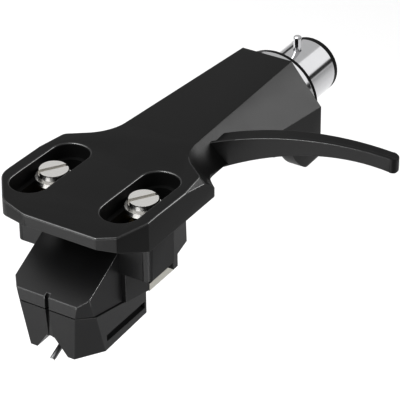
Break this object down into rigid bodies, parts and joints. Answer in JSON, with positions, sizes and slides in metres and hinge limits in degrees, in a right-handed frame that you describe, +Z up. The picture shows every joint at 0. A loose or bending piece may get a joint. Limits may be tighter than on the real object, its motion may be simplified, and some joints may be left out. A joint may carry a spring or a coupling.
{
  "type": "turntable headshell with cartridge",
  "caption": "Black bayonet headshell with finger lift, carrying a moving-magnet phono cartridge with a pull-off stylus unit.",
  "frame": {"origin": "on the bayonet connector's axis, at the rear shoulder of its collar", "axes": "+Y along the connector to the rear, +X to the finger-lift side, +Z up"},
  "size_m": [0.0377, 0.0634, 0.0205],
  "materials": {
    "black_paint": "fine matte black paint over a casting",
    "chrome_plate": "bright chrome plate",
    "rubber": "black rubber",
    "carrier_plastic": "black moulded insulator",
    "body_plastic": "satin black moulding",
    "holder_plastic": "satin black moulding",
    "nickel": "nickel plate",
    "can_nickel": "nickel plated sheet",
    "dark_steel": "blackened steel",
    "brass": "turned brass",
    "gold": "gold plate",
    "core_alloy": "rolled nickel-iron",
    "bobbin_plastic": "moulded nylon",
    "copper_wire": "enamelled copper",
    "aluminium": "drawn tube",
    "magnet": "ground magnet",
    "tie_steel": "fine steel wire",
    "diamond": "polished diamond",
    "lead_red": "soft insulation",
    "lead_white": "soft insulation",
    "lead_green": "soft insulation",
    "lead_blue": "soft insulation"
  },
  "bodies": {
    "shell": {"headshell": "black_paint", "connector_sleeve": "chrome_plate", "locating_pin": "chrome_plate", "connector_gasket": "rubber", "contact_carrier": "carrier_plastic", "cartridge_body": "body_plastic", "rear_cover": "body_plastic", "mounting_screws": "nickel", "mounting_washers": "nickel", "shield_can": "can_nickel", "connector_set_screw": "dark_steel", "threaded_inserts": "brass", "contact_pin_red": "gold", "contact_pin_white": "gold", "contact_pin_green": "gold", "contact_pin_blue": "gold", "terminal_pin_red": "gold", "terminal_pin_white": "gold", "terminal_pin_green": "gold", "terminal_pin_blue": "gold", "contact_clip_red": "gold", "contact_clip_white": "gold", "contact_clip_green": "gold", "contact_clip_blue": "gold", "pin_clip_red": "gold", "pin_clip_white": "gold", "pin_clip_green": "gold", "pin_clip_blue": "gold", "pole_core_left": "core_alloy", "pole_core_right": "core_alloy", "bobbin_left": "bobbin_plastic", "bobbin_right": "bobbin_plastic", "winding_left": "copper_wire", "winding_right": "copper_wire", "lead_red": "lead_red", "lead_white": "lead_white", "lead_green": "lead_green", "lead_blue": "lead_blue"},
    "stylus_unit": {"stylus_holder": "holder_plastic", "stylus_sleeve": "aluminium", "tie_clamp": "brass", "tie_wire": "tie_steel"},
    "damper": {"damper_ring": "rubber"},
    "arm": {"stylus_arm": "aluminium", "stylus_diamond": "diamond", "magnet_carrier": "aluminium", "magnet_left": "magnet", "magnet_right": "magnet"}
  },
  "joints": [
    {"name": "stylus_pull_off", "type": "slide", "parent": "shell", "child": "stylus_unit", "axis": [0, -0.9063, -0.4226], "range_m": [0, 0.009]},
    {"name": "arm_sideways", "type": "hinge", "parent": "stylus_unit", "child": "damper", "pos_m": [0, -0.04384, -0.0072], "axis": [0, -0.4226, 0.9063], "range_deg": [-3, 3], "stiffness_Nm_per_rad": 0.0018},
    {"name": "arm_up_down", "type": "hinge", "parent": "damper", "child": "arm", "pos_m": [0, -0.04384, -0.0072], "axis": [1, 0, 0], "range_deg": [-3, 3], "stiffness_Nm_per_rad": 0.0018}
  ]
}
